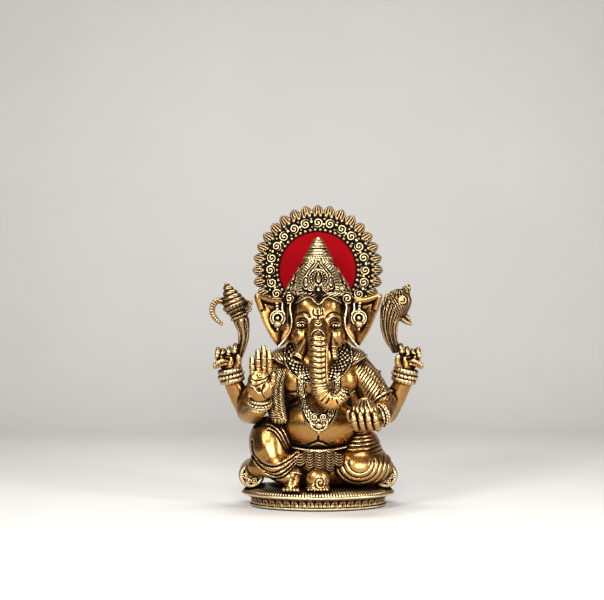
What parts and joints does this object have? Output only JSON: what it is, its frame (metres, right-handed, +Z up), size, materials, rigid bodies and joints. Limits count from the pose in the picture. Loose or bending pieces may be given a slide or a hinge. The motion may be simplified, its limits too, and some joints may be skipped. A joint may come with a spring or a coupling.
{
  "type": "seated four-armed elephant-headed idol",
  "caption": "Seated four-armed elephant-headed devotional figure in antiqued gold-plated metal on an oval base, with a round scalloped halo behind a tall crown.",
  "frame": {"origin": "centre of the base's resting face, under the figure", "axes": "+Z up, the figure faces -Y, its left hand is on the +X side"},
  "size_m": [0.1568, 0.0867, 0.2261],
  "materials": {
    "figure_gold": "antiqued gold plate, polished on the high parts, black in the recesses",
    "ornament_gold": "antiqued gold plate, chased and beaded",
    "crown_gold": "antiqued gold plate, chased",
    "base_gold": "antiqued gold plate",
    "halo_gold": "antiqued gold plate, scrolls and beads in relief over black recesses",
    "halo_cloth": "red velvet",
    "stay_brass": "plain brushed",
    "screw_steel": "zinc plated under the base, blackened on the halo",
    "felt": "black felt"
  },
  "bodies": {
    "root": {"base_felt": "felt", "base_plinth": "base_gold", "base_screws": "screw_steel", "seat_plate": "base_gold", "right_bolster": "ornament_gold", "left_bolster": "ornament_gold", "torso": "figure_gold", "hips": "figure_gold", "right_leg": "figure_gold", "left_leg": "figure_gold", "right_foot": "figure_gold", "left_foot": "figure_gold", "waist_sash": "ornament_gold", "shawl": "ornament_gold", "long_necklace": "ornament_gold", "pendant": "ornament_gold", "collar_necklace": "ornament_gold", "head": "figure_gold", "trunk": "figure_gold", "right_tusk": "figure_gold", "left_tusk": "figure_gold", "right_ear": "figure_gold", "right_earring": "ornament_gold", "left_ear": "figure_gold", "left_earring": "ornament_gold", "crown": "crown_gold", "crown_finial": "crown_gold", "crown_jewel": "crown_gold", "brow_band": "crown_gold", "rear_right_arm": "figure_gold", "goad": "ornament_gold", "rear_right_hand": "figure_gold", "rear_right_bracelet": "ornament_gold", "rear_left_arm": "figure_gold", "conch": "ornament_gold", "rear_left_hand": "figure_gold", "rear_left_bracelet": "ornament_gold", "front_right_arm": "figure_gold", "front_right_hand": "figure_gold", "front_right_bracelet": "ornament_gold", "front_left_arm": "figure_gold", "modak": "figure_gold", "front_left_hand": "figure_gold", "front_left_bracelet": "ornament_gold", "halo_ring": "halo_gold", "halo_disc": "halo_cloth", "halo_stay": "stay_brass", "halo_screws": "screw_steel"}
  },
  "joints": []
}
